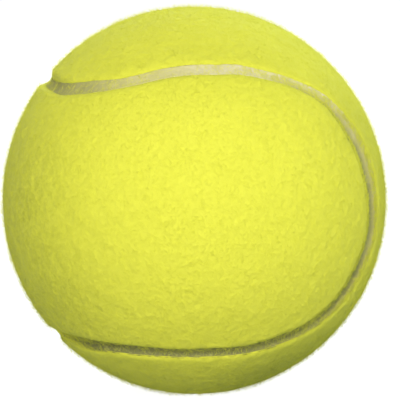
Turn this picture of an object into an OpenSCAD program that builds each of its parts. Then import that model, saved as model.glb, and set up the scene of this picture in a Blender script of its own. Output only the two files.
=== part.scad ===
// Tennis ball, built from its real pieces: a hollow rubber core pressed from two halves and cemented
// round the middle, two like felt panels cemented onto it, and the rubber that fills the seam between them.
// The origin is the centre of the ball and +Z is up. X is the axis of the seam: a quarter turn about X
// with a mirror across the plane x = 0 lays the seam onto itself.
// Each panel is a dog-bone: a waist on the X axis and two round lobes that wrap the ball to either side.
// The end of each lobe is an arc of a circle on the ball. Between two ends the seam runs straight, along
// a great circle through the crossing point midway between two lobes, and it meets both ends smoothly.

/* [Ball] */
// Diameter over the felt
ball_diameter = 67; // [64:0.1:70]
// Thickness of the felt
felt_thickness = 3.3; // [2.6:0.1:3.8]

/* [Core] */
// Thickness of the rubber wall of the core
core_wall = 3.4; // [2.8:0.1:4]
// Thickness of the cement between the two halves of the core
core_joint_thickness = 0.3; // [0.2:0.05:0.6]
// Radius of the bead of cement that is squeezed into the core along the joint
core_joint_bead = 0.7; // [0.5:0.05:1.2]
// Thickness of the cement between the core and the felt
panel_cement_thickness = 0.2; // [0.1:0.05:0.4]

/* [Seam] */
// Angle in degrees by which each lobe leans away from the waist of its own panel
lobe_lean = 8; // [4:0.5:12]
// Angle in degrees by which the straight runs turn in towards the ends of the lobes
run_slant = 8; // [2:0.5:12]
// Width of the seam from felt to felt
seam_width = 2.2; // [1.6:0.1:3]
// Depth of the seam's rubber below the outside of the felt, measured at the felt's edge
seam_depth = 0.8; // [0.5:0.1:1.4]
// Depth of the hollow along the middle of the seam's rubber
seam_hollow = 0.25; // [0.15:0.05:0.4]
// Radius of the felt's rounded edge along the seam
felt_edge_radius = 0.9; // [0.5:0.1:1.4]

/* [Hidden] */
$fn = 96;

// Radii of the layers, from the outside in
ball_radius = ball_diameter / 2;
felt_inner_radius = ball_radius - felt_thickness;
core_radius = felt_inner_radius - panel_cement_thickness;
core_inner_radius = core_radius - core_wall;
seam_radius = ball_radius - seam_depth;

// Directions from the centre: the middle of the front lobe, its tip, the crossing point above it and the
// normal of the great circle of the straight run through that point
lobe_axis = [sin(lobe_lean), -cos(lobe_lean), 0];
lobe_tip = [cos(lobe_lean), sin(lobe_lean), 0];
crossing = [0, -1, 1] / sqrt(2);
run_normal = [-sin(run_slant), -cos(run_slant) / sqrt(2), -cos(run_slant) / sqrt(2)];
// Angle from the middle of a lobe to its edge, so that its end touches the straight runs on both sides
lobe_radius = asin(run_normal * lobe_axis);
// Angle from the middle of a run, and from the tip of a lobe, to the place where the two meet
run_half = acos(crossing * lobe_axis / cos(lobe_radius));
end_half = acos(-run_normal * lobe_tip / cos(lobe_radius));
// Angle by which each arc runs on into the next one, and the hair by which the straight runs are larger
// all round, so that the ends of all the arcs nest in their neighbours
arc_overlap = 0.8;
run_nesting = 0.01;

// Share of the core's radius at which the tools that cut through the felt begin
tool_start_share = 0.6;
tool_start = tool_start_share * core_radius;
// Share of the ball's radius by which those tools pass its surface
tool_overrun_share = 0.2;
tool_end = (1 + tool_overrun_share) * ball_radius;
// Shares of the seam's half-width by which the tools stay inside a lobe, at its end and along its runs
end_inset_share = 0.25;
run_inset_share = 0.5;
tool_angle = lobe_radius - end_inset_share * asin(seam_width / 2 / ball_radius);
// Distance along X at which a run passes into the end of its lobe, halfway through the felt
meeting_share = (lobe_axis[0] - sin(lobe_radius) * run_normal[0]) / cos(lobe_radius);
meeting_x = meeting_share * (ball_radius + core_radius) / 2;

// Share of the seam's width that its hollow takes, and the radius of that hollow
hollow_width_share = 0.84;
hollow_half_width = hollow_width_share * seam_width / 2;
hollow_radius = (pow(hollow_half_width, 2) + pow(seam_hollow, 2)) / (2 * seam_hollow);

// The two lobes of the panel whose waist is at -X, front and back, from one that is made about Z with
// its tip towards +X
module both_lobes() {
    for (side = [0, 180])
        rotate([side, 0, 0])
            rotate([90, 0, lobe_lean])
                children();
}

// The great circle of the run above the front lobe, from one that is made round Z with its middle at +Y
module run_place() {
    rotate([135, 0, 0])
        rotate([0, -run_slant, 0])
            children();
}

// The place of the other panel: half a turn about the line through a crossing point
module other_panel() {
    rotate(a = 180, v = crossing)
        children();
}

// An arc of a section that is drawn about the line from the ball's centre to the seam
module arc(radius_angle, middle, half_angle) {
    rotate_extrude(angle = 2 * (half_angle + arc_overlap), start = middle - half_angle - arc_overlap)
        rotate(90 - radius_angle)
            children();
}

// The first child swept round the ends of all four lobes, and the second, its larger twin, along the
// four straight runs
module along_seam() {
    module two_ends()
        both_lobes()
            arc(lobe_radius, 0, end_half)
                children();
    two_ends()
        children(0);
    other_panel()
        two_ends()
            children(0);
    for (side = [0, 180])
        rotate([side, 0, 0]) {
            run_place()
                arc(90, 90, run_half)
                    children(1);
            mirror([0, 0, 1])
                run_place()
                    arc(90, 90, run_half)
                        children(1);
        }
}

// Section of the space between the panels, with the felt's rounded edges on both sides, and larger
// all round by the nesting
module groove_section(nesting) {
    half_width = seam_width / 2 + nesting;
    edge_level = ball_radius - felt_edge_radius;
    edge_centre = seam_width / 2 + felt_edge_radius;
    translate([tool_start - nesting, -half_width])
        square([edge_level - tool_start + nesting, 2 * half_width]);
    difference() {
        translate([edge_level, -edge_centre - nesting])
            square([tool_end + nesting - edge_level, 2 * (edge_centre + nesting)]);
        for (side = [-1, 1])
            translate([edge_level, side * edge_centre])
                circle(felt_edge_radius - nesting);
    }
}

// Section of the seam's rubber from below the core's surface to its hollow top, larger by the nesting
module rubber_section(nesting) {
    half_width = seam_width / 2 + nesting;
    difference() {
        translate([tool_start - nesting, -half_width])
            square([seam_radius - tool_start + 2 * nesting, 2 * half_width]);
        translate([seam_radius - seam_hollow + hollow_radius, 0])
            circle(hollow_radius - nesting);
    }
}

// What lies inside the straight run above the front lobe, on the lobe's side of it
module inside_run() {
    run_place()
        translate([-2 * tool_end, -2 * tool_end, run_inset_share * seam_width / 2])
            cube(4 * tool_end);
}

// Solids from near the centre out through both lobes of the panel at -X, just inside their edges: a cone
// through the end of each, and a wedge between its two runs
module lobe_tools() {
    both_lobes()
        translate([0, 0, tool_start * cos(lobe_radius)])
            cylinder(
                h = tool_end - tool_start * cos(lobe_radius),
                r1 = tool_start * cos(lobe_radius) * tan(tool_angle),
                r2 = tool_end * tan(tool_angle)
            );
    for (side = [0, 180])
        rotate([side, 0, 0])
            intersection() {
                inside_run();
                mirror([0, 0, 1])
                    inside_run();
                translate([-tool_end, -tool_end, -tool_end])
                    cube([tool_end + meeting_x, 2 * tool_end, 2 * tool_end]);
            }
}

// All that the panel at -X leaves to the other one. Its faces that cross the felt lie within the seam.
module beyond_panel() {
    other_panel()
        lobe_tools();
    difference() {
        translate([0, -tool_end, -tool_end])
            cube([tool_end, 2 * tool_end, 2 * tool_end]);
        lobe_tools();
    }
}

// The part of a round layer that lies under the panel at -X
module panel_layer(inner_radius, outer_radius) {
    difference() {
        sphere(outer_radius);
        sphere(inner_radius);
        along_seam() {
            groove_section(0);
            groove_section(run_nesting);
        }
        beyond_panel();
    }
}

// One half of the core, the one towards -X, with its flat rim on the cement
module core_half() {
    difference() {
        sphere(core_radius);
        sphere(core_inner_radius);
        translate([-core_joint_thickness / 2, -tool_end, -tool_end])
            cube([2 * tool_end, 2 * tool_end, 2 * tool_end]);
    }
}

module core_half_left() {
    color("#4c4a47")
        core_half();
}

module core_half_right() {
    color("#55524e")
        mirror([1, 0, 0])
            core_half();
}

// A flat ring between the rims of the core's halves, with the bead that the press squeezes inwards
module core_joint_cement() {
    color("#b98f4e")
        rotate([0, 90, 0])
            rotate_extrude() {
                intersection() {
                    translate([core_inner_radius - core_joint_bead / 2, -core_joint_thickness / 2])
                        square([core_wall + core_joint_bead, core_joint_thickness]);
                    circle(core_radius);
                }
                intersection() {
                    translate([core_inner_radius, 0])
                        circle(core_joint_bead);
                    circle(core_inner_radius);
                }
            }
}

module panel_cement_a() {
    color("#c9a765")
        panel_layer(core_radius, felt_inner_radius);
}

module panel_cement_b() {
    color("#c2a05d")
        other_panel()
            panel_layer(core_radius, felt_inner_radius);
}

module felt_panel_a() {
    color("#dbe23c")
        panel_layer(felt_inner_radius, ball_radius);
}

module felt_panel_b() {
    color("#cdd636")
        other_panel()
            panel_layer(felt_inner_radius, ball_radius);
}

module seam_rubber() {
    color("#bdb691")
        difference() {
            along_seam() {
                rubber_section(0);
                rubber_section(run_nesting);
            }
            sphere(core_radius);
        }
}

core_half_left();
core_half_right();
core_joint_cement();
panel_cement_a();
panel_cement_b();
felt_panel_a();
felt_panel_b();
seam_rubber();
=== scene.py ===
import math

import bmesh
import bpy
import numpy as np
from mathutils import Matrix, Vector
from mathutils.kdtree import KDTree


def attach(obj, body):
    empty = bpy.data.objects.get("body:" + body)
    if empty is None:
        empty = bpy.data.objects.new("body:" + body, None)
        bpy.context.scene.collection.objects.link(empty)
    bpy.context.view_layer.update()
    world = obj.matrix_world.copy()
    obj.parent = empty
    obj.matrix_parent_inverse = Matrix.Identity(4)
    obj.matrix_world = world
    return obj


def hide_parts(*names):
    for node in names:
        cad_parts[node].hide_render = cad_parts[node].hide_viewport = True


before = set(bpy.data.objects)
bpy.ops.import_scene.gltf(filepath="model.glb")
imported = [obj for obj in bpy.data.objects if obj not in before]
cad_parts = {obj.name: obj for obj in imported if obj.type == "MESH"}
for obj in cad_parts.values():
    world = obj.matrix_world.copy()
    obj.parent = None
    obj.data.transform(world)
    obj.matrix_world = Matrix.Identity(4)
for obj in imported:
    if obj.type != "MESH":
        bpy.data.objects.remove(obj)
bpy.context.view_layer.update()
mm = 0.001

ball = {
    "radius": 33.5,
    "feltInner": 30.2,
    "outOfRound": 0.20,
    "offCentre": (0.08, -0.04, -0.17),
    "seed": 11,
}


# small helpers

def unit(v):
    return v / np.linalg.norm(v, axis=-1, keepdims=True)


def newObject(name, mesh, material):
    piece = bpy.data.objects.new(name, mesh)
    bpy.context.scene.collection.objects.link(piece)
    mesh.materials.append(material)
    return piece


def around(azimuth, elevation, distance):
    # a place round the origin, azimuth 0 being in front of the ball and 90 to its right
    a, e = math.radians(azimuth), math.radians(elevation)
    return Vector((math.sin(a) * math.cos(e), -math.cos(a) * math.cos(e), math.sin(e))) * distance


def hills(points, size, count, seed, spread=(0.75, 1.35)):
    # a soft random relief, about -1 to 1: many waves of about one size, each in its own direction
    rng = np.random.default_rng(seed)
    directions = unit(rng.normal(size=(count, 3)))
    lengths = size * rng.uniform(*spread, count)
    phases = rng.uniform(0, 2 * math.pi, count)
    total = np.zeros(len(points))
    for direction, length, phase in zip(directions, lengths, phases):
        total += np.sin(points @ direction * (2 * math.pi / length) + phase)
    return total / math.sqrt(count)


def outOfRound(directions):
    # what is added to the ball's radius in mm: it is a little taller than it is wide, and its felt
    # is a little thicker below
    taller = ball["outOfRound"] * (directions[:, 2] ** 2 - directions[:, 0] ** 2)
    return taller + directions @ np.array(ball["offCentre"])


# the seam's line round the ball

seamLine = {
    "count": 2400,
    "lobeLean": 8.0,  # degrees, both as in the CAD source
    "runSlant": 8.0,
    "endSteps": 300,
    "runSteps": 200,
    "blend": 37,  # places over which the rows below pass into each other
    "sideways": 3,  # mm from the line, up to which the distance is taken straight across it
    # the seam as given: place round it, push out of panel A in mm, half-width in mm, how far the
    # rubber's edges lie below the felt in mm, depth of its hollow in mm, stain and painted shade
    # from
    # 0 to 1 (real stain, and painted shade where the groove lies in shadow), how much painted
    # shadow of panel A's lip lies by panel A's edge, how much deeper the rubber lies there, and its
    # share of the loose fibres
    "wander": [
        (0.000, 0.64, 2.22, 0.18, 0.30, 0.70, 0.50, 0.75, 1.20),
        (0.020, 1.60, 2.30, 0.20, 0.35, 0.76, 0.48, 0.72, 1.15),
        (0.040, 1.05, 2.12, 0.22, 0.40, 0.84, 0.42, 0.63, 1.00),
        (0.060, 1.10, 1.84, 0.24, 0.50, 0.98, 0.32, 0.48, 0.75),
        (0.080, 0.83, 1.22, 0.25, 0.55, 1.02, 0.22, 0.45, 0.30),
        (0.100, 0.60, 1.18, 0.25, 0.55, 1.02, 0.10, 0.45, 0.18),
        (0.120, 0.59, 0.95, 0.30, 0.55, 1.05, 0.05, 0.50, 0.12),
        (0.140, -0.05, 1.00, 0.32, 0.55, 1.03, 0.00, 0.50, 0.08),
        (0.160, 0.36, 0.92, 0.32, 0.55, 1.03, 0.00, 0.50, 0.07),
        (0.180, 0.72, 1.06, 0.32, 0.55, 1.00, 0.00, 0.50, 0.07),
        (0.200, 0.97, 1.13, 0.32, 0.55, 1.02, 0.00, 0.50, 0.09),
        (0.215, 1.20, 1.45, 0.32, 0.60, 1.04, 0.00, 0.50, 0.16),
        (0.235, 0.95, 1.20, 0.45, 0.50, 0.96, 0.00, 0.30, 0.70),
        (0.260, 0.20, 1.05, 0.45, 0.30, 0.60, 0.00, 0.00, 0.40),
        (0.300, 0.30, 1.10, 0.45, 0.25, 0.40, 0.00, 0.00, 0.30),
        (0.350, -0.25, 1.05, 0.40, 0.20, 0.30, 0.00, 0.00, 0.30),
        (0.400, 0.25, 1.10, 0.45, 0.20, 0.20, 0.00, 0.00, 0.30),
        (0.470, -0.30, 1.15, 0.50, 0.20, 0.35, 0.00, 0.00, 0.30),
        (0.540, 0.35, 1.05, 0.45, 0.20, 0.45, 0.00, 0.00, 0.30),
        (0.610, -0.20, 1.10, 0.45, 0.20, 0.30, 0.00, 0.00, 0.30),
        (0.680, 0.80, 1.10, 0.50, 0.20, 0.40, 0.00, 0.00, 0.30),
        (0.735, 1.65, 0.80, 0.85, 0.25, 0.65, 0.00, 0.00, 0.03),
        (0.757, 1.32, 0.92, 0.95, 0.25, 0.75, 0.00, 0.00, 0.03),
        (0.770, 0.55, 1.03, 0.50, 0.25, 0.75, 0.00, 0.00, 0.05),
        (0.780, 0.12, 1.16, 0.35, 0.20, 0.76, 0.00, 0.00, 0.06),
        (0.800, 0.00, 1.22, 0.25, 0.15, 0.70, 0.00, 0.00, 0.10),
        (0.820, -0.28, 0.90, 0.20, 0.10, 0.56, 0.00, 0.00, 0.12),
        (0.840, 0.32, 1.03, 0.20, 0.10, 0.52, 0.00, 0.00, 0.12),
        (0.860, 0.40, 1.01, 0.20, 0.10, 0.36, 0.00, 0.00, 0.12),
        (0.873, 0.24, 1.02, 0.20, 0.10, 0.34, 0.00, 0.00, 0.18),
        (0.880, 0.66, 1.03, 0.20, 0.10, 0.34, 0.00, 0.00, 0.24),
        (0.900, 0.22, 0.83, 0.20, 0.15, 0.24, 0.00, 0.00, 0.32),
        (0.920, 0.10, 0.80, 0.20, 0.20, 0.33, 0.25, 0.38, 0.30),
        (0.940, 0.64, 1.12, 0.20, 0.20, 0.45, 0.42, 0.63, 0.50),
        (0.960, 0.29, 2.00, 0.18, 0.22, 0.54, 0.50, 0.75, 1.05),
        (0.980, 0.34, 2.28, 0.18, 0.26, 0.62, 0.52, 0.78, 1.25),
    ],
}


def seamPath():
    lean, slant = math.radians(seamLine["lobeLean"]), math.radians(seamLine["runSlant"])
    lobe = np.array([math.sin(lean), -math.cos(lean), 0])
    tip = np.array([math.cos(lean), math.sin(lean), 0])
    down = np.array([0, 0, -1.0])
    crossing = np.array([0, -1, -1]) / math.sqrt(2)
    normal = np.array([
        -math.sin(slant), -math.cos(slant) / math.sqrt(2), math.cos(slant) / math.sqrt(2)
    ])
    lobeRadius = math.asin(normal @ lobe)
    runHalf = math.acos(crossing @ lobe / math.cos(lobeRadius))
    endHalf = math.acos(-normal @ tip / math.cos(lobeRadius))
    turn = np.linspace(0, endHalf, seamLine["endSteps"])[:, None]
    rim = np.cos(turn) * tip + np.sin(turn) * down
    end = math.cos(lobeRadius) * lobe + math.sin(lobeRadius) * rim
    turn = np.linspace(-runHalf, runHalf, seamLine["runSteps"])[:, None]
    run = np.cos(turn) * crossing + np.sin(turn) * np.cross(crossing, normal)

    def quarterTurn(points):
        return np.stack([-points[:, 0], -points[:, 2], points[:, 1]], 1)

    quarter = np.concatenate([end[:-1], run[:-1], quarterTurn(end * (1, 1, -1))[:0:-1]])
    points = [quarter]
    for _ in range(3):
        points.append(quarterTurn(points[-1]))
    points = np.concatenate(points + [quarter[:1]])

    def evenly(line):
        walked = np.concatenate([[0], np.cumsum(np.linalg.norm(np.diff(line, axis=0), axis=1))])
        places = np.linspace(0, walked[-1], seamLine["count"], endpoint=False)
        return unit(np.stack([np.interp(places, walked, line[:, i]) for i in range(3)], 1))

    def tangents(line):
        return unit(np.roll(line, -1, 0) - np.roll(line, 1, 0))

    points = evenly(points)
    outOfA = unit(np.cross(points, tangents(points)))
    rows = np.array(seamLine["wander"])
    places = np.arange(seamLine["count"]) / seamLine["count"]
    knots = np.concatenate([rows[-2:, 0] - 1, rows[:, 0], rows[:2, 0] + 1])
    kernel = np.hanning(seamLine["blend"])
    kernel /= kernel.sum()
    reach = seamLine["blend"] // 2
    columns = []
    for column in rows.T[1:]:
        value = np.interp(places, knots, np.concatenate([column[-2:], column, column[:2]]))
        value = np.concatenate([value[-reach:], value, value[:reach]])
        columns.append(np.convolve(value, kernel, mode="valid"))
    # the stain column is partly real stain and partly painted shade of the groove, and the next is
    # painted shadow of panel A's lip along its edge
    push, half, sink, hollow, stainAndShade, paintedShadowByA, tilt, fibres = columns
    points = unit(points + outOfA * (push / ball["radius"])[:, None])
    outOfA = unit(np.cross(points, tangents(points)))
    return {
        "points": points, "outOfA": outOfA, "along": tangents(points),
        "half": half, "sink": sink, "hollow": hollow, "tilt": tilt,
        "stainAndShade": stainAndShade, "paintedShadowByA": paintedShadowByA, "fibres": fibres,
    }


seam = seamPath()
seamTree = KDTree(seamLine["count"])
for i, point in enumerate(seam["points"]):
    seamTree.insert(Vector(point), i)
seamTree.balance()


def besideSeam(directions):
    # for each direction: its distance in mm from the seam's line, positive on panel B's side, and
    # the seam's half-width and sink there
    nearest = np.array([seamTree.find(Vector(d))[1] for d in directions])
    away = np.einsum("ij,ij->i", directions - seam["points"][nearest], seam["outOfA"][nearest])
    flat = np.linalg.norm(directions - seam["points"][nearest], axis=1)
    arc = 2 * np.arcsin(np.clip(flat / 2, 0, 1)) * ball["radius"]
    far = np.clip((arc - seamLine["sideways"]) / seamLine["sideways"], 0, 1)
    distance = np.sign(away) * (far * arc + (1 - far) * np.abs(away) * ball["radius"])
    sink = seam["sink"][nearest] * (1 - seam["tilt"][nearest] * np.sign(distance))
    return distance, seam["half"][nearest], sink


print("seam line ready")


# the two felt panels

felt = {
    "edgeWidth": 1.2,
    "edgeDrop": 0.12,
    "edgeSwell": 0.03,
    "swellPlace": 1.6,  # mm inside the edge
    "swellWidth": 1.1,
    "clumpSize": (4.2, 2.1, 1.15),
    "clumpHeight": (0.032, 0.028, 0.015),
    "clumpWaves": 40,
    "clumpAtEdge": 0.35,  # share of the clumps' height that the edge keeps
    "clumpReach": 1.5,
    "warp": 0.55,  # mm by which the clumps are bent
    "warpSize": 3.1,
    "warpWaves": 14,
    "underNap": 0.21,
    "wallSteps": (32.2, 31.2, 30.2),
    "wallRelief": -0.15,
    "innerSubdivisions": 6,
    "liningInset": 0.7,
    "subdivisions": 8,
}


def clumps(directions):
    # relief of the brushed felt in mm
    points = directions * ball["radius"]
    bends = [hills(points, felt["warpSize"], felt["warpWaves"], seed) for seed in (21, 22, 23)]
    warped = points + felt["warp"] * np.stack(bends, 1)
    total = np.zeros(len(points))
    for i, (size, height) in enumerate(zip(felt["clumpSize"], felt["clumpHeight"])):
        total += height * hills(warped, size, felt["clumpWaves"], 31 + i)
    return total


def feltRadius(directions, inside, sink):
    # outer radius of the felt and its relief in mm, inside being the distance from the felt's edge
    into = np.clip(1 - inside / felt["edgeWidth"], 0, 1)
    shoulder = (sink + felt["edgeDrop"]) * into * into
    fromSwell = (inside - felt["swellPlace"]) / felt["swellWidth"]
    swell = felt["edgeSwell"] * np.exp(-(fromSwell ** 2))
    relief = clumps(directions)
    level = ball["radius"] - felt["underNap"] + outOfRound(directions)
    kept = np.clip(felt["clumpAtEdge"] + inside / felt["clumpReach"], 0, 1)
    return level - shoulder + swell + relief * kept, relief


def panelSide(directions, side):
    distance, half, _ = besideSeam(directions)
    return (-distance if side == "A" else distance) - half


def insideFelt(directions):
    # distance from the edge of the nearer panel's felt, negative over the seam, and the seam's
    # sink there
    distance, half, sink = besideSeam(directions)
    return np.abs(distance) - half, sink


def panelPatch(side, subdivisions, inset=0.0):
    # the faces of an icosphere on one panel's side, up to its felt's edge or to inset mm inside it
    patch = bmesh.new()
    bmesh.ops.create_icosphere(patch, subdivisions=subdivisions, radius=1.0)
    patch.verts.ensure_lookup_table()
    directions = unit(np.array([v.co for v in patch.verts], float))
    inside = panelSide(directions, side) - inset
    for v, value in zip(patch.verts, inside):
        v.tag = bool(value < 0)
    gone = [f for f in patch.faces if sum(v.tag for v in f.verts) > 1]
    bmesh.ops.delete(patch, geom=gone, context="FACES")
    loose = [v for v in patch.verts if not v.link_faces]
    bmesh.ops.delete(patch, geom=loose, context="VERTS")
    for _ in range(3):  # spikes with a single face are dropped from the border
        spikes = [v for v in patch.verts if v.is_boundary and len(v.link_faces) == 1]
        bmesh.ops.delete(patch, geom=spikes, context="VERTS")
    return patch


def ontoEdge(patch, side, inset=0.0):
    # lays the border of a patch on the felt's edge, or inset mm inside it
    border = [v for v in patch.verts if v.is_boundary]
    co = unit(np.array([v.co for v in border], float))
    for _ in range(3):  # the nearest place on the line shifts a little each time
        nearest = np.array([seamTree.find(Vector(d))[1] for d in co])
        out = seam["outOfA"][nearest]
        wanted = (seam["half"][nearest] + inset) * (-1 if side == "A" else 1)
        away = np.einsum("ij,ij->i", co - seam["points"][nearest], out) * ball["radius"]
        co = unit(co + out * ((wanted - away) / ball["radius"])[:, None])
    for v, place in zip(border, co):
        v.co = place
    return border


def makePanel(name, side, material):
    panel = panelPatch(side, felt["subdivisions"])
    edge = ontoEdge(panel, side)
    near = {u for v in edge for e in v.link_edges for u in [e.other_vert(v)] if not u.is_boundary}
    bmesh.ops.smooth_vert(
        panel, verts=list(near), factor=0.5, use_axis_x=True, use_axis_y=True, use_axis_z=True
    )
    panel.verts.ensure_lookup_table()
    directions = unit(np.array([v.co for v in panel.verts], float))
    inside, sink = insideFelt(directions)
    outer, relief = feltRadius(directions, np.maximum(inside, 0), sink)
    reliefs = list(relief)
    for v, direction, radius in zip(panel.verts, directions, outer):
        v.co = direction * radius * mm
    border = [e for e in panel.edges if e.is_boundary]
    for radius in felt["wallSteps"]:
        wall = bmesh.ops.extrude_edge_only(panel, edges=border)["geom"]
        border = [g for g in wall if isinstance(g, bmesh.types.BMEdge) and g.is_boundary]
        for v in [g for g in wall if isinstance(g, bmesh.types.BMVert)]:
            v.co = v.co.normalized() * radius * mm
            reliefs.append(felt["wallRelief"])
    # the inside face is coarser, and a ring of triangles joins it to the foot of the wall
    lining = panelPatch(side, felt["innerSubdivisions"], felt["liningInset"])
    ontoEdge(lining, side, felt["liningInset"])
    for v in lining.verts:
        v.co = v.co.normalized() * ball["feltInner"] * mm
    liningMesh = bpy.data.meshes.new(name + "Lining")
    lining.to_mesh(liningMesh)
    lining.free()
    panel.from_mesh(liningMesh)
    bpy.data.meshes.remove(liningMesh)
    reliefs += [0.0] * (len(panel.verts) - len(reliefs))
    loops = [e for e in panel.edges if e.is_boundary]
    rims = list({v for e in loops for v in e.verts})
    places = [v.co.copy() for v in rims]
    for v in rims:  # laid out flat round the panel's waist while the ring is filled
        turn = math.acos(max(-1, min(1, v.co.x / v.co.length * (-1 if side == "A" else 1))))
        v.co = Vector((v.co.y, v.co.z, 0)).normalized() * turn
    bmesh.ops.triangle_fill(panel, use_beauty=True, edges=loops)
    for v, place in zip(rims, places):
        v.co = place
    bmesh.ops.triangulate(panel, faces=panel.faces)
    bmesh.ops.recalc_face_normals(panel, faces=panel.faces)
    mesh = bpy.data.meshes.new(name)
    panel.to_mesh(mesh)
    openEdges = sum(1 for e in panel.edges if not e.is_manifold)
    panel.free()
    mesh.shade_smooth()
    attribute = mesh.attributes.new("clump", "FLOAT", "POINT")
    attribute.data.foreach_set("value", np.array(reliefs, np.float32))
    piece = newObject(name, mesh, material)
    print(name, len(mesh.polygons), "triangles,", openEdges, "open edges")
    return piece


# materials

def newMaterial(name, roughness, specular):
    material = bpy.data.materials.new(name)
    material.use_nodes = True
    nodes, links = material.node_tree.nodes, material.node_tree.links
    shader = next(n for n in nodes if n.type == "BSDF_PRINCIPLED")
    shader.inputs["Roughness"].default_value = roughness
    shader.inputs["Specular IOR Level"].default_value = specular
    return material, nodes, links, shader


def noiseNode(nodes, links, vector, scale, detail, roughness, distortion=0.0):
    noise = nodes.new("ShaderNodeTexNoise")
    noise.inputs["Scale"].default_value = scale
    noise.inputs["Detail"].default_value = detail
    noise.inputs["Roughness"].default_value = roughness
    noise.inputs["Distortion"].default_value = distortion
    links.new(vector, noise.inputs["Vector"])
    return noise.outputs["Fac"]


def rampNode(nodes, links, value, stops):
    ramp = nodes.new("ShaderNodeValToRGB")
    elements = ramp.color_ramp.elements
    for end in (0, -1):
        elements[end].position, elements[end].color = stops[end][0], (*stops[end][1], 1)
    for place, colour in stops[1:-1]:
        elements.new(place).color = (*colour, 1)
    links.new(value, ramp.inputs["Fac"])
    return ramp.outputs["Color"]


def mixNode(nodes, links, factor, first, second):
    mix = nodes.new("ShaderNodeMix")
    mix.data_type = "RGBA"
    for value, name in ((factor, "Factor"), (first, "A"), (second, "B")):
        socket = mix.inputs[name]
        if isinstance(value, (int, float)):
            socket.default_value = value
        elif isinstance(value, tuple):
            socket.default_value = (*value, 1)
        else:
            links.new(value, socket)
    return mix.outputs["Result"]


def mapNode(nodes, links, value, source=(0.0, 1.0), target=(0.0, 1.0), interpolation="LINEAR"):
    # lays the range source onto the range target
    mapped = nodes.new("ShaderNodeMapRange")
    mapped.interpolation_type = interpolation
    for name, number in zip(("From Min", "From Max", "To Min", "To Max"), (*source, *target)):
        mapped.inputs[name].default_value = number
    links.new(value, mapped.inputs["Value"])
    return mapped.outputs["Result"]


def multiplyAddNode(nodes, links, value, factor, addend, clamped=False):
    # value * factor + addend, the last two being numbers or sockets
    node = nodes.new("ShaderNodeMath")
    node.operation = "MULTIPLY_ADD"
    node.use_clamp = clamped
    links.new(value, node.inputs[0])
    for socket, given in ((node.inputs[1], factor), (node.inputs[2], addend)):
        if isinstance(given, float):
            socket.default_value = given
        else:
            links.new(given, socket)
    return node.outputs["Value"]


def bumpNode(nodes, links, height, strength, distance, normal=None):
    bump = nodes.new("ShaderNodeBump")
    bump.inputs["Strength"].default_value = strength
    bump.inputs["Distance"].default_value = distance
    links.new(height, bump.inputs["Height"])
    if normal is not None:
        links.new(normal, bump.inputs["Normal"])
    return bump.outputs["Normal"]


feltColours = {
    # the felt's face is a little darker than its fibres, and deep to high follows the relief so its
    # low places are darker: painted shade of the nap's depth, with noise for tone at random
    "deep": (0.745, 0.757, 0.070),
    "body": (0.770, 0.779, 0.074),
    "high": (0.790, 0.797, 0.080),
    "fibre": ((0.810, 0.825, 0.076), (0.834, 0.845, 0.080), (0.858, 0.862, 0.088)),
    # the dark colour that the marks' painted shade and soil mix in
    "shadeAndSoil": (0.40, 0.43, 0.028),
    "sheen": 0.2,
    "sheenRoughness": 0.45,
    "sheenTint": (0.95, 1.0, 0.55, 1),
    "clumpRange": (-0.28, 0.28),
    # noises: scale, detail, roughness, distortion
    "fine": (1000, 6, 0.75, 0.6),
    "broad": (180, 3, 0.6, 0.3),
    "fuzz": (2600, 3, 0.7, 1.2),
    "napBroad": (220, 3, 0.6, 0.4),
    "fineShare": 0.45,
    "broadShare": 0.25,
    "islandShare": 0.6,  # how much each fibre's own shade counts
    "fineBump": 0.00022,  # metres
    "fuzzBump": 0.00005,
    "fleckRange": (0.40, 0.60),
    "mottled": 0.004,
    # places where the felt is darkened, partly painted shade and partly soil: azimuth and elevation
    # in degrees, reach in mm, share of dark flecks and of even darkening
    "marks": [
        (-74, 8, 19, 0.38, 0.0),
        (-64, -24, 16, 0.34, 0.0),
        (-40, -50, 14, 0.16, 0.0),
        (-10, -64, 14, 0.22, 0.0),
        (30, -58, 15, 0.25, 0.46),
        (48, -40, 10, 0.10, 0.14),
        (-20, -30, 18, 0.02, 0.0),
        (72, 5, 15, 0.10, 0.10),
        (50, 25, 13, 0.03, 0.13),
        (14, 44, 13, 0.02, 0.13),
        (-16, 46, 13, 0.02, 0.14),
        (-50, 41, 12, 0.02, 0.10),
    ],
}


def paintShadeAndSoil(nodes, links, place, colour):
    # the colour goes darker in the marks, as painted shade with some soil: in flecks where a noise
    # is low, and evenly
    mottled, evenShadedAndSoiled = feltColours["mottled"], 0.0
    for azimuth, elevation, reach, mottle, evenShadeAndSoil in feltColours["marks"]:
        away = nodes.new("ShaderNodeVectorMath")
        away.operation = "DISTANCE"
        links.new(place, away.inputs[0])
        away.inputs[1].default_value = around(azimuth, elevation, ball["radius"] * mm)
        reached = (0.0, reach * mm)
        near = mapNode(nodes, links, away.outputs["Value"], reached, (1.0, 0.0), "SMOOTHSTEP")
        mottled = multiplyAddNode(nodes, links, near, mottle, mottled)
        evenShadedAndSoiled = multiplyAddNode(nodes, links, near, evenShadeAndSoil, evenShadedAndSoiled)
    blotches = noiseNode(nodes, links, place, *feltColours["fine"])
    flecks = mapNode(nodes, links, blotches, feltColours["fleckRange"], (1.0, 0.0))
    shadeAndSoil = multiplyAddNode(nodes, links, flecks, mottled, evenShadedAndSoiled, clamped=True)
    return mixNode(nodes, links, shadeAndSoil, colour, feltColours["shadeAndSoil"])


def addSheen(shader):
    shader.inputs["Sheen Weight"].default_value = feltColours["sheen"]
    shader.inputs["Sheen Roughness"].default_value = feltColours["sheenRoughness"]
    shader.inputs["Sheen Tint"].default_value = feltColours["sheenTint"]


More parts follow.
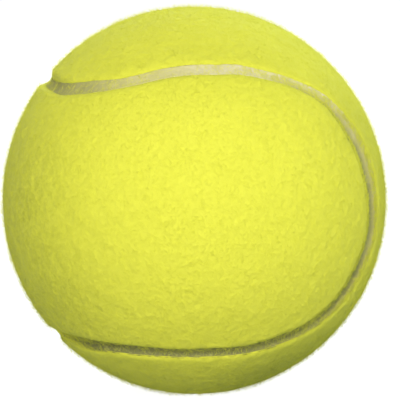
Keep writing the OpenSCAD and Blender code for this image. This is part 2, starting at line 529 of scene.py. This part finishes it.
def feltMaterial():
    material, nodes, links, shader = newMaterial("brushedFelt", 0.95, 0.12)
    place = nodes.new("ShaderNodeTexCoord").outputs["Object"]
    clump = nodes.new("ShaderNodeAttribute")
    clump.attribute_name = "clump"
    relief = mapNode(nodes, links, clump.outputs["Fac"], feltColours["clumpRange"])
    fine = noiseNode(nodes, links, place, *feltColours["fine"])
    broad = noiseNode(nodes, links, place, *feltColours["broad"])
    height = mixNode(nodes, links, feltColours["fineShare"], relief, fine)
    height = mixNode(nodes, links, feltColours["broadShare"], height, broad)
    # the relief's low places are darker, as painted shade, and noise adds tone at random
    colour = rampNode(nodes, links, height, [
        (0.22, feltColours["deep"]), (0.50, feltColours["body"]), (0.78, feltColours["high"]),
    ])
    # the marks darken the felt with painted shade and some soil
    links.new(paintShadeAndSoil(nodes, links, place, colour), shader.inputs["Base Color"])
    fuzz = noiseNode(nodes, links, place, *feltColours["fuzz"])
    normal = bumpNode(nodes, links, fine, 1.0, feltColours["fineBump"])
    normal = bumpNode(nodes, links, fuzz, 1.0, feltColours["fuzzBump"], normal)
    links.new(normal, shader.inputs["Normal"])
    addSheen(shader)
    return material


def napMaterial():
    material, nodes, links, shader = newMaterial("napFibres", 0.9, 0.15)
    place = nodes.new("ShaderNodeTexCoord").outputs["Object"]
    island = nodes.new("ShaderNodeNewGeometry").outputs["Random Per Island"]
    broad = noiseNode(nodes, links, place, *feltColours["napBroad"])
    value = mixNode(nodes, links, feltColours["islandShare"], broad, island)
    stops = list(zip((0.10, 0.50, 0.90), feltColours["fibre"]))
    colour = rampNode(nodes, links, value, stops)
    # the fibres get the marks' painted shade and soil too
    links.new(paintShadeAndSoil(nodes, links, place, colour), shader.inputs["Base Color"])
    roughness = mapNode(nodes, links, broad, target=(0.75, 1.0))
    links.new(roughness, shader.inputs["Roughness"])
    addSheen(shader)
    return material


seamColours = {
    # by how stained and shaded the rubber is: the dark end is partly real stain, partly painted
    # shade of the groove
    "stops": [(0.0, (0.78, 0.72, 0.54)), (0.55, (0.58, 0.54, 0.21)), (1.0, (0.24, 0.237, 0.075))],
    "uneven": 0.2,  # by how much a noise shifts the stain and painted shade either way
    "broad": (260, 4, 0.6, 0.3),
    "grain": (1500, 3, 0.7, 0.5),
    "fleck": (0.62, 0.60, 0.18),
    "fleckRange": (0.60, 0.72),
    "roughness": (0.6, 0.95),
    "bump": 0.0002,
}


def seamMaterial():
    material, nodes, links, shader = newMaterial("seamRubberGrey", 0.75, 0.35)
    place = nodes.new("ShaderNodeTexCoord").outputs["Object"]
    broad = noiseNode(nodes, links, place, *seamColours["broad"])
    grain = noiseNode(nodes, links, place, *seamColours["grain"])
    # the rubber's attribute holds real stain and painted shade of the groove, darker by panel A's
    # edge as painted shadow of its lip
    stainAndShade = nodes.new("ShaderNodeAttribute")
    stainAndShade.attribute_name = "stainAndShade"
    shifted = multiplyAddNode(nodes, links, stainAndShade.outputs["Fac"], 1.0, seamColours["uneven"])
    stainedAndShaded = multiplyAddNode(nodes, links, broad, -2 * seamColours["uneven"], shifted)
    colour = rampNode(nodes, links, stainedAndShaded, seamColours["stops"])
    flecks = mapNode(nodes, links, grain, seamColours["fleckRange"])
    colour = mixNode(nodes, links, flecks, colour, seamColours["fleck"])
    links.new(colour, shader.inputs["Base Color"])
    roughness = mapNode(nodes, links, grain, target=seamColours["roughness"])
    links.new(roughness, shader.inputs["Roughness"])
    links.new(bumpNode(nodes, links, grain, 0.5, seamColours["bump"]), shader.inputs["Normal"])
    return material


def hiddenMaterial(name, dark, light, scale, roughness):
    material, nodes, links, shader = newMaterial(name, roughness, 0.4)
    place = nodes.new("ShaderNodeTexCoord").outputs["Object"]
    broad = noiseNode(nodes, links, place, scale, 4, 0.6, 0.2)
    grain = noiseNode(nodes, links, place, scale * 8, 3, 0.6)
    colour = rampNode(nodes, links, broad, [(0.3, dark), (0.7, light)])
    links.new(colour, shader.inputs["Base Color"])
    uneven = mapNode(nodes, links, grain, target=(roughness - 0.12, roughness + 0.1))
    links.new(uneven, shader.inputs["Roughness"])
    links.new(bumpNode(nodes, links, grain, 0.3, 0.0001), shader.inputs["Normal"])
    return material


feltCloth = feltMaterial()
napYarn = napMaterial()
panelA = makePanel("feltPanelA", "A", feltCloth)
panelB = makePanel("feltPanelB", "B", feltCloth)


# the rubber in the seam

rubber = {
    "steps": 1500,
    "bottom": 30.02,
    "tuck": 0.10,
    "acrossPoints": 17,
    "footPoint": 0.34,  # share of the half-width at which the bottom has its points
    "lumpSize": (2.6, 0.9),
    "lumpHeight": (0.025, 0.02),
    "lumpWaves": 40,
}


def makeSeamRubber(name, material):
    # a grid is laid along the seam's line and wrapped round the rubber's section
    across = np.linspace(-1, 1, rubber["acrossPoints"])
    foot = rubber["footPoint"]
    outline = [(x, 1.0) for x in across] + [(1.0, 0.5), (1.0, 0.0), (foot, 0.0), (-foot, 0.0)]
    outline = np.array(outline + [(-1.0, 0.0), (-1.0, 0.5), (-1.0, 1.0)])
    ring = bmesh.new()
    bmesh.ops.create_grid(ring, x_segments=rubber["steps"], y_segments=len(outline) - 1, size=0.5)
    co = np.array([v.co for v in ring.verts], float)
    turn = (co[:, 0] + 0.5) * seamLine["count"]
    row = np.rint((co[:, 1] + 0.5) * (len(outline) - 1)).astype(int)
    sideways, height = outline[row].T
    low = np.floor(turn + 1e-6).astype(int)
    share = np.clip(turn - low, 0, 1)[:, None]
    low, high = low % seamLine["count"], (low + 1) % seamLine["count"]
    line = unit(seam["points"][low] * (1 - share) + seam["points"][high] * share)
    out = unit(seam["outOfA"][low] * (1 - share) + seam["outOfA"][high] * share)
    half = seam["half"][low] + rubber["tuck"]
    directions = unit(line + out * (sideways * half / ball["radius"])[:, None])
    lumps = sum(
        h * hills(directions * ball["radius"], s, rubber["lumpWaves"], 51 + i)
        for i, (s, h) in enumerate(zip(rubber["lumpSize"], rubber["lumpHeight"]))
    )
    sink = seam["sink"][low] * (1 - seam["tilt"][low] * sideways)
    sink += felt["edgeDrop"] * seam["tilt"][low] * np.clip(sideways, 0, 1)
    sides = ball["radius"] + outOfRound(directions) - felt["underNap"] - sink
    top = sides - seam["hollow"][low] * (1 - np.abs(sideways) ** 3) + lumps
    radius = rubber["bottom"] + (top - rubber["bottom"]) * height
    # the rubber's stain value is partly real stain, partly painted shade of the groove
    stainAndShade = ring.verts.layers.float.new("stainAndShade")
    # towards panel A's edge the rubber goes darker, as painted shadow of A's lip
    stainsAndShade = seam["stainAndShade"][low] - seam["paintedShadowByA"][low] * sideways
    for v, direction, r, value in zip(ring.verts, directions, radius, stainsAndShade):
        v.co = direction * r * mm
        v[stainAndShade] = value
    bmesh.ops.remove_doubles(ring, verts=ring.verts, dist=1e-6)
    bmesh.ops.triangulate(ring, faces=ring.faces)
    bmesh.ops.recalc_face_normals(ring, faces=ring.faces)
    mesh = bpy.data.meshes.new(name)
    ring.to_mesh(mesh)
    openEdges = sum(1 for e in ring.edges if not e.is_manifold)
    ring.free()
    mesh.shade_smooth()
    print(name, len(mesh.polygons), "triangles,", openEdges, "open edges")
    return newObject(name, mesh, material)


seamStrip = makeSeamRubber("seamRubber", seamMaterial())


# the nap: fibres that lie on the felt, stand off it and hang over its edges

nap = {
    "lyingStrands": 18000,
    "edgeStrands": 10500,
    "standingStrands": 88000,
    "quickShare": 0.2,
    "spare": 1.2,  # more strands are drawn, because those over the seam are dropped
    "clear": 0.1,  # mm between the felt's edge and the middle or root of a strand
    "pieces": 8,
    "thickness": 0.030,
    "points": 5,
    "standingPoints": 2,
    "taper": [0.4, 1.0, 1.0, 1.0, 0.3],  # share of the thickness at each point
    "standingTaper": [0.77, 0.55],
    "length": (1.0, 2.8),
    "curl": 1.1,
    "wave": 0.5,
    "lift": 0.03,
    "raised": 0.14,
    "raisedShare": 0.35,
    "overhang": 0.35,
    "sag": 0.12,
    "sagReach": 1.5,
    "edgeLength": (0.7, 1.9),
    "edgeStart": (-0.25, 0.8),  # mm inside the felt's edge
    "edgeLean": 0.7,
    "edgeCurl": 0.9,
    "edgeSag": (0.3, 1.6),
    "standingHeight": (0.10, 0.74),
    "standingReach": (0.5, 2.0),  # share of the height
    "rootDepth": 0.02,
}


def bend(count, rng, length):
    # strands drawn flat round their middles: two arrays in mm, one row each
    heading = rng.uniform(0, 2 * math.pi, count)
    curl = rng.normal(0, nap["curl"], count)
    wave = rng.normal(0, nap["wave"], count)
    share = np.linspace(-0.5, 0.5, nap["points"])
    angle = heading[:, None] + curl[:, None] * share + wave[:, None] * np.sin(share * 2 * math.pi)
    step = length[:, None] / (nap["points"] - 1)
    x = np.cumsum(np.cos(angle) * step, 1)
    y = np.cumsum(np.sin(angle) * step, 1)
    return x - x.mean(1, keepdims=True), y - y.mean(1, keepdims=True)


def onFelt(count, rng):
    # random directions over the felt
    places = unit(rng.normal(size=(int(count * nap["spare"]), 3)))
    return places[insideFelt(places)[0] > nap["clear"]][:count]


def lyingStrands(count, rng):
    # strands that lie on the felt, some with a raised end; those that reach far over the seam go
    middles = onFelt(count, rng)
    count = len(middles)
    across = unit(np.cross(middles, rng.normal(size=(count, 3))))
    along = np.cross(middles, across)
    x, y = bend(count, rng, rng.uniform(*nap["length"], count))
    offsets = across[:, None] * x[..., None] + along[:, None] * y[..., None]
    directions = unit((middles[:, None] + offsets / ball["radius"]).reshape(-1, 3))
    inside, sink = insideFelt(directions)
    short = inside.reshape(count, -1).min(1) > -nap["overhang"]
    radius = feltRadius(directions, np.maximum(inside, 0.25), sink)[0]
    radius = radius - nap["sag"] * np.clip(-inside, 0, nap["sagReach"])
    lift = nap["lift"] * rng.random(count) ** 1.6
    share = np.linspace(0, 1, nap["points"])
    height = np.sin(share * math.pi)[None] * lift[:, None] + 0.01
    drawn = rng.random(count)
    raised = nap["raised"] * np.clip(drawn / nap["raisedShare"] - 1 / nap["raisedShare"] + 1, 0, 1)
    height += raised[:, None] * np.clip(2 * share - 1, 0, 1)[None] ** 1.5
    strands = directions * (radius + height.ravel())[:, None]
    return strands.reshape(count, nap["points"], 3)[short]


def edgeStrands(count, rng):
    # strands that start on the felt by the seam and reach over its rubber
    places = rng.choice(seamLine["count"], count, p=seam["fibres"] / seam["fibres"].sum())
    side = rng.choice([-1, 1], count)
    share = np.linspace(0, 1, nap["points"])
    length = rng.uniform(*nap["edgeLength"], count)
    lean = rng.normal(0, nap["edgeLean"], count)
    curl = rng.normal(0, nap["edgeCurl"], count)
    angle = lean[:, None] + curl[:, None] * share
    step = length[:, None] / (nap["points"] - 1)
    start = rng.uniform(*nap["edgeStart"], count)
    inward = np.cumsum(np.cos(angle) * step, 1) - start[:, None]
    sideways = np.cumsum(np.sin(angle) * step, 1)
    fromLine = (seam["half"][places][:, None] - inward) * side[:, None]
    out, along = seam["outOfA"][places][:, None], seam["along"][places][:, None]
    offsets = out * fromLine[..., None] + along * sideways[..., None]
    directions = unit((seam["points"][places][:, None] + offsets / ball["radius"]).reshape(-1, 3))
    inside, sink = insideFelt(directions)
    radius = feltRadius(directions, np.maximum(inside, 0.15), sink)[0]
    sag = nap["sag"] * rng.uniform(*nap["edgeSag"], count).repeat(nap["points"])
    radius = radius - sag * np.clip(-inside, 0, nap["sagReach"])
    return (directions * (radius + 0.015)[:, None]).reshape(count, nap["points"], 3)


def standingStrands(count, rng):
    # short ends that stand off the felt and soften its outline
    roots = onFelt(count, rng)
    count = len(roots)
    heading = unit(np.cross(roots, rng.normal(size=(count, 3))))
    height = rng.uniform(*nap["standingHeight"], count)
    reach = height * rng.uniform(*nap["standingReach"], count)
    share = np.linspace(0, 1, nap["standingPoints"])
    inside, sink = insideFelt(roots)
    radius = feltRadius(roots, inside, sink)[0]
    lift = height[:, None] * np.sin(share * math.pi / 2)[None] - nap["rootDepth"]
    away = heading[:, None] * (reach[:, None] * share[None] ** 1.4)[..., None]
    return roots[:, None] * (radius[:, None] + lift)[..., None] + away


def napStrands():
    rng = np.random.default_rng(ball["seed"])
    share = 1
    return [
        lyingStrands(int(nap["lyingStrands"] * share), rng) * mm,
        edgeStrands(int(nap["edgeStrands"] * share), rng) * mm,
        standingStrands(int(nap["standingStrands"] * share), rng) * mm,
    ]


def makeNap(material):
    kinds = napStrands()
    print("nap strands:", [len(kind) for kind in kinds])
    profile = bpy.data.curves.new("strandProfile", "CURVE")
    outline = profile.splines.new("POLY")
    outline.points.add(2)
    for point, turn in zip(outline.points, (0, 2 * math.pi / 3, 4 * math.pi / 3)):
        x, y = math.cos(turn), math.sin(turn)
        point.co = (x * nap["thickness"] / 2 * mm, y * nap["thickness"] / 2 * mm, 0, 1)
    outline.use_cyclic_u = True
    profileObject = bpy.data.objects.new("strandProfile", profile)
    bpy.context.scene.collection.objects.link(profileObject)
    pieces = []
    slices = [np.array_split(kind[np.argsort(kind[:, 0, 0])], nap["pieces"]) for kind in kinds]
    for number in range(nap["pieces"]):  # each piece is a slice of the ball
        curve = bpy.data.curves.new("strands", "CURVE")
        curve.dimensions = "3D"
        curve.bevel_mode = "OBJECT"
        curve.bevel_object = profileObject
        curve.use_fill_caps = True
        for strand in (strand for kind in slices for strand in kind[number]):
            spline = curve.splines.new("POLY")
            spline.points.add(len(strand) - 1)
            places = np.c_[strand, np.ones(len(strand))].astype(np.float32)
            spline.points.foreach_set("co", places.ravel())
            taper = nap["taper"] if len(strand) == nap["points"] else nap["standingTaper"]
            spline.points.foreach_set("radius", np.array(taper, np.float32))
        drawn = bpy.data.objects.new("strands", curve)
        bpy.context.scene.collection.objects.link(drawn)
        bpy.context.view_layer.update()
        evaluated = drawn.evaluated_get(bpy.context.evaluated_depsgraph_get())
        mesh = bpy.data.meshes.new_from_object(evaluated)
        mesh.name = f"nap{number + 1}"
        bpy.data.objects.remove(drawn)
        bpy.data.curves.remove(curve)
        tubes = bmesh.new()
        tubes.from_mesh(mesh)
        bmesh.ops.remove_doubles(tubes, verts=tubes.verts, dist=1e-7)
        bmesh.ops.triangulate(tubes, faces=tubes.faces)
        bmesh.ops.recalc_face_normals(tubes, faces=tubes.faces)
        openEdges = sum(1 for e in tubes.edges if not e.is_manifold)
        tubes.to_mesh(mesh)
        tubes.free()
        mesh.shade_smooth()
        mesh.materials.clear()
        pieces.append(newObject(f"nap{number + 1}", mesh, material))
        print(mesh.name, len(mesh.polygons), "triangles,", openEdges, "open edges")
    bpy.data.objects.remove(profileObject)
    bpy.data.curves.remove(profile)
    return pieces


napPieces = makeNap(napYarn)


# finishes of the CAD pieces inside

innerFinish = {
    # dark and light colour, scale of the noise, roughness
    "coreRubber": ((0.022, 0.021, 0.020), (0.05, 0.047, 0.043), 90, 0.72),
    "jointCement": ((0.42, 0.27, 0.10), (0.58, 0.40, 0.17), 160, 0.45),
    "panelCement": ((0.50, 0.34, 0.13), (0.66, 0.48, 0.22), 120, 0.5),
}
innerMaterial = {name: hiddenMaterial(name, *finish) for name, finish in innerFinish.items()}
for nodeName, finish in (
    ("core_half_left", "coreRubber"), ("core_half_right", "coreRubber"),
    ("core_joint_cement", "jointCement"),
    ("panel_cement_a", "panelCement"), ("panel_cement_b", "panelCement"),
):
    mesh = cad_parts[nodeName].data
    mesh.materials.clear()
    mesh.materials.append(innerMaterial[finish])

for piece in (panelA, panelB, seamStrip, *napPieces):
    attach(piece, "root")
for piece, nodeName in (
    (panelA, "felt_panel_a"), (panelB, "felt_panel_b"), (seamStrip, "seam_rubber"),
):
    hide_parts(nodeName)
print("pieces placed")


# floor, lights and camera

studio = {
    "floorSize": 30.0,
    "floorGlow": 0.96,
    "floorColour": 0.30,
    "ambient": 0.20,
    "ambientColour": (0.81, 1.0, 0.82),
    "lampDistance": 1.2,
    "lampSize": 0.5,
    # azimuth and elevation in degrees, power in watts, colour
    "lamps": {
        "keyHigh": (-20, 25, 5.9, (1.0, 0.957, 0.92)),
        "keyLow": (-20, 5, 8.7, (1.0, 0.955, 0.96)),
        "fill": (5, 25, 2.9, (1.0, 0.94, 0.95)),
        "rightFront": (55, 5, 1.3, (0.96, 1.0, 0.92)),
        "right": (85, 5, 2.6, (0.89, 1.0, 0.84)),
        "back": (150, 30, 10.5, (0.94, 1.0, 0.70)),
        "backHigh": (165, 60, 1.5, (0.89, 1.0, 0.83)),
    },
}

floorMesh = bmesh.new()
bmesh.ops.create_grid(floorMesh, x_segments=8, y_segments=8, size=studio["floorSize"] / 2)
bmesh.ops.translate(floorMesh, verts=floorMesh.verts, vec=(0, 0, -ball["radius"] * mm))
mesh = bpy.data.meshes.new("floor")
floorMesh.to_mesh(mesh)
floorMesh.free()
floorPaint, *_, shader = newMaterial("floorPaint", 1.0, 0.0)
shader.inputs["Base Color"].default_value = (*[studio["floorColour"]] * 3, 1)
shader.inputs["Emission Color"].default_value = (1, 1, 1, 1)
shader.inputs["Emission Strength"].default_value = studio["floorGlow"]
floor = newObject("floor", mesh, floorPaint)
floor.visible_diffuse = False
floor.visible_glossy = False

world = bpy.data.worlds.new("studioAir")
bpy.context.scene.world = world
world.use_nodes = True
air = world.node_tree.nodes["Background"]
air.inputs["Color"].default_value = (*studio["ambientColour"], 1)
air.inputs["Strength"].default_value = studio["ambient"]

for name, (azimuth, elevation, power, colour) in studio["lamps"].items():
    lamp = bpy.data.lights.new(name, "AREA")
    lamp.shape = "DISK"
    lamp.size = studio["lampSize"]
    lamp.energy = power
    lamp.color = colour
    light = bpy.data.objects.new(name, lamp)
    bpy.context.scene.collection.objects.link(light)
    light.location = around(azimuth, elevation, studio["lampDistance"])
    light.rotation_euler = (-light.location).to_track_quat("-Z", "Y").to_euler()

view = {
    "azimuth": -14.57,
    "elevation": 5.61,
    "roll": -3.06,
    "distance": 0.603,
    "lens": 312.8,
    "sensor": 36,
    "shift": (0.016, -0.0016),
    "clip": (0.01, 60),
}
camera = bpy.data.cameras.new("camera")
camera.lens = view["lens"]
camera.sensor_width = view["sensor"]
camera.shift_x, camera.shift_y = view["shift"]
camera.clip_start, camera.clip_end = view["clip"]
cameraObject = bpy.data.objects.new("camera", camera)
bpy.context.scene.collection.objects.link(cameraObject)
cameraObject.location = around(view["azimuth"], view["elevation"], view["distance"])
facing = (-cameraObject.location).to_track_quat("-Z", "Y").to_matrix()
roll = math.radians(view["roll"])
axes = facing.copy()
axes.col[0] = facing @ Vector((math.cos(roll), math.sin(roll), 0))
axes.col[1] = facing @ Vector((-math.sin(roll), math.cos(roll), 0))
cameraObject.rotation_mode = "QUATERNION"
cameraObject.rotation_quaternion = axes.to_quaternion()
bpy.context.scene.camera = cameraObject
bpy.context.scene.view_settings.view_transform = "Standard"
print("floor, lights and camera ready")
